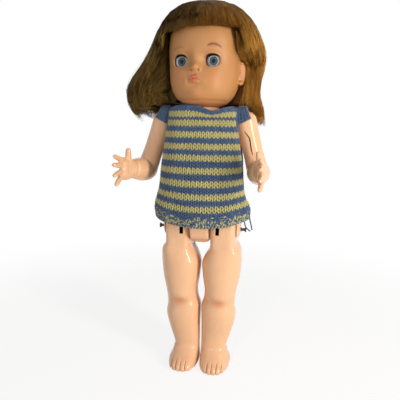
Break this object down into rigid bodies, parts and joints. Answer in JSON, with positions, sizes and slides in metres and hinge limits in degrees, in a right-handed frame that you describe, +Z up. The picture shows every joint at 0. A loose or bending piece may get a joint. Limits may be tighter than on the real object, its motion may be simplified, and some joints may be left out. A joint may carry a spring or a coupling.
{
  "type": "walking doll",
  "caption": "Jointed walking doll of hard plastic with a soft vinyl head, sleeping eyes, rooted hair, a striped knitted top, swinging arms and a head that turns as the legs step.",
  "frame": {"origin": "on the floor that the soles stand on, under the middle of the whole doll's box, its hair and hands included; the body's own middle plane is at x = 13.1 mm and its hip, neck and shoulder axes are at y = 7.4 mm", "axes": "+Z up from the soles to the crown, the doll faces -Y, and +X is towards the doll's own left hand"},
  "size_m": [0.2288, 0.1705, 0.5565],
  "materials": {
    "hard_plastic": "glossy moulded skin-coloured hard plastic with a warm blush at the knees, scuffed",
    "soft_vinyl": "satin skin-coloured soft vinyl with blushed cheeks and painted lips and brows",
    "hair": "shiny golden brown synthetic hair fibre, loose and a little tangled",
    "steel": "plain drawn steel",
    "pin_steel": "dark aged steel",
    "dark_steel": "dark oiled steel strap",
    "lead": "dull cast weight",
    "rubber_band": "tan vulcanised rubber",
    "eye_white": "polished white plastic",
    "iris": "clear domed plastic over a blue-grey rayed iris",
    "lashes": "black bristle lashes",
    "plug_plastic": "plain moulded plastic",
    "cup_plastic": "plain pale plastic",
    "knit": "hand-knitted wool in blue and pale yellow stripes, soft and slightly fuzzy",
    "knit_plain": "blue knitting wool, soft and slightly fuzzy"
  },
  "bodies": {
    "torso": {"body_front": "hard_plastic", "body_back": "hard_plastic", "hip_pin_left": "pin_steel", "hip_pin_right": "pin_steel", "arm_elastic": "rubber_band", "arm_hook_left": "steel", "arm_hook_right": "steel", "neck_spring": "steel", "knit_top": "knit", "knit_sleeve_left": "knit_plain", "knit_sleeve_right": "knit_plain", "yarn_tail_inner": "knit_plain", "yarn_tail_outer": "knit_plain"},
    "left_leg": {"leg_left_front": "hard_plastic", "leg_left_back": "hard_plastic", "leg_lever_left": "dark_steel"},
    "right_leg": {"leg_right_front": "hard_plastic", "leg_right_back": "hard_plastic", "leg_lever_right": "dark_steel"},
    "left_arm": {"arm_left_outer": "hard_plastic", "arm_left_inner": "hard_plastic"},
    "right_arm": {"arm_right_outer": "hard_plastic", "arm_right_inner": "hard_plastic"},
    "head": {"head_shell": "soft_vinyl", "hair_crown": "hair", "hair_fringe": "hair", "hair_side_left": "hair", "hair_side_right": "hair", "hair_back": "hair", "head_plug": "plug_plastic", "head_washer": "steel", "head_cotter": "steel", "neck_shaft": "steel", "neck_cotter": "steel", "neck_washer": "steel", "crossbar": "steel", "eye_cup_left": "cup_plastic", "eye_cup_right": "cup_plastic", "eye_pin_left": "steel", "eye_pin_right": "steel"},
    "left_eye": {"eyeball_left": "eye_white", "iris_left": "iris", "lashes_left": "lashes", "eye_weight_left": "lead"},
    "right_eye": {"eyeball_right": "eye_white", "iris_right": "iris", "lashes_right": "lashes", "eye_weight_right": "lead"}
  },
  "joints": [
    {"name": "left_leg_swing", "type": "hinge", "parent": "torso", "child": "left_leg", "pos_m": [0.0406, 0.0074, 0.225], "axis": [1, 0, 0], "range_deg": [-20, 20]},
    {"name": "right_leg_swing", "type": "hinge", "parent": "torso", "child": "right_leg", "pos_m": [-0.0144, 0.0074, 0.225], "axis": [1, 0, 0], "range_deg": [-20.1, 20.1]},
    {"name": "head_turn", "type": "hinge", "parent": "torso", "child": "head", "pos_m": [0.0131, 0.0074, 0.409], "axis": [0, 0, 1], "range_deg": [-28.5, 28.5], "deforming": ["hair_side_left", "hair_side_right", "hair_back"]},
    {"name": "left_arm_swing", "type": "hinge", "parent": "torso", "child": "left_arm", "pos_m": [0.0756, 0.0074, 0.388], "axis": [1, 0, 0], "range_deg": [-70, 40], "deforming": ["knit_sleeve_left"]},
    {"name": "right_arm_swing", "type": "hinge", "parent": "torso", "child": "right_arm", "pos_m": [-0.0494, 0.0074, 0.388], "axis": [1, 0, 0], "range_deg": [-70, 40], "deforming": ["knit_sleeve_right"]},
    {"name": "left_eye_roll", "type": "hinge", "parent": "head", "child": "left_eye", "pos_m": [0.03284, -0.02484, 0.4695], "axis": [0.9945, -0.1045, 0], "range_deg": [0, 62]},
    {"name": "right_eye_roll", "type": "hinge", "parent": "head", "child": "right_eye", "pos_m": [-0.01291, -0.02003, 0.4695], "axis": [0.9945, -0.1045, 0], "range_deg": [0, 62]}
  ],
  "couplings": [
    {"joint": "right_leg_swing", "follows": "left_leg_swing", "ratio": -1},
    {"joint": "head_turn", "follows": "left_leg_swing", "ratio": -1.42}
  ]
}
